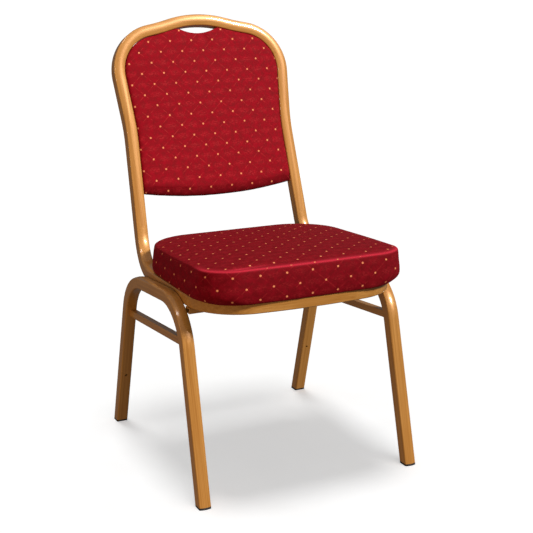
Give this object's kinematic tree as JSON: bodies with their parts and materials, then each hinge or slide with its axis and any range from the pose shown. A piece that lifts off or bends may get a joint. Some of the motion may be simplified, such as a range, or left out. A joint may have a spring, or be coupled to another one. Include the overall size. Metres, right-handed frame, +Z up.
{
  "type": "stacking chair",
  "caption": "Upholstered stacking banquet chair with a padded back in a crown-shaped tube hoop, a thick seat pad, arched tube legs and side stretchers.",
  "frame": {"origin": "on the floor, in the middle of the chair's overall width and depth", "axes": "+Z up, the chair faces -Y, +X is the sitter's left"},
  "size_m": [0.4918, 0.5976, 0.9054],
  "materials": {
    "frame_paint": "gloss",
    "cover_fabric": "matte",
    "foam": "matte",
    "plywood": "matte",
    "lining_cloth": "matte",
    "glide_plastic": "satin",
    "zinc_steel": "satin"
  },
  "bodies": {
    "root": {"back_board": "plywood", "back_cover_front": "cover_fabric", "back_cover_rear": "cover_fabric", "back_foam_front": "foam", "back_foam_rear": "foam", "back_hoop": "frame_paint", "back_lug_lower_left": "frame_paint", "back_lug_lower_right": "frame_paint", "back_lug_upper_left": "frame_paint", "back_lug_upper_right": "frame_paint", "back_screw_lower_left": "zinc_steel", "back_screw_lower_right": "zinc_steel", "back_screw_upper_left": "zinc_steel", "back_screw_upper_right": "zinc_steel", "foot_glide_front_left": "glide_plastic", "foot_glide_front_right": "glide_plastic", "foot_glide_rear_left": "glide_plastic", "foot_glide_rear_right": "glide_plastic", "leg_frame_left": "frame_paint", "leg_frame_right": "frame_paint", "seat_board": "plywood", "seat_bolt_front_left": "zinc_steel", "seat_bolt_front_right": "zinc_steel", "seat_bolt_rear_left": "zinc_steel", "seat_bolt_rear_right": "zinc_steel", "seat_cover": "cover_fabric", "seat_cross_rail_front": "frame_paint", "seat_cross_rail_rear": "frame_paint", "seat_dust_cloth": "lining_cloth", "seat_foam": "foam", "seat_front_rail": "frame_paint", "seat_tab_front_left": "frame_paint", "seat_tab_front_right": "frame_paint", "seat_tab_rear_left": "frame_paint", "seat_tab_rear_right": "frame_paint", "seat_tee_nut_front_left": "zinc_steel", "seat_tee_nut_front_right": "zinc_steel", "seat_tee_nut_rear_left": "zinc_steel", "seat_tee_nut_rear_right": "zinc_steel", "side_stretcher_left": "frame_paint", "side_stretcher_right": "frame_paint"}
  },
  "joints": []
}
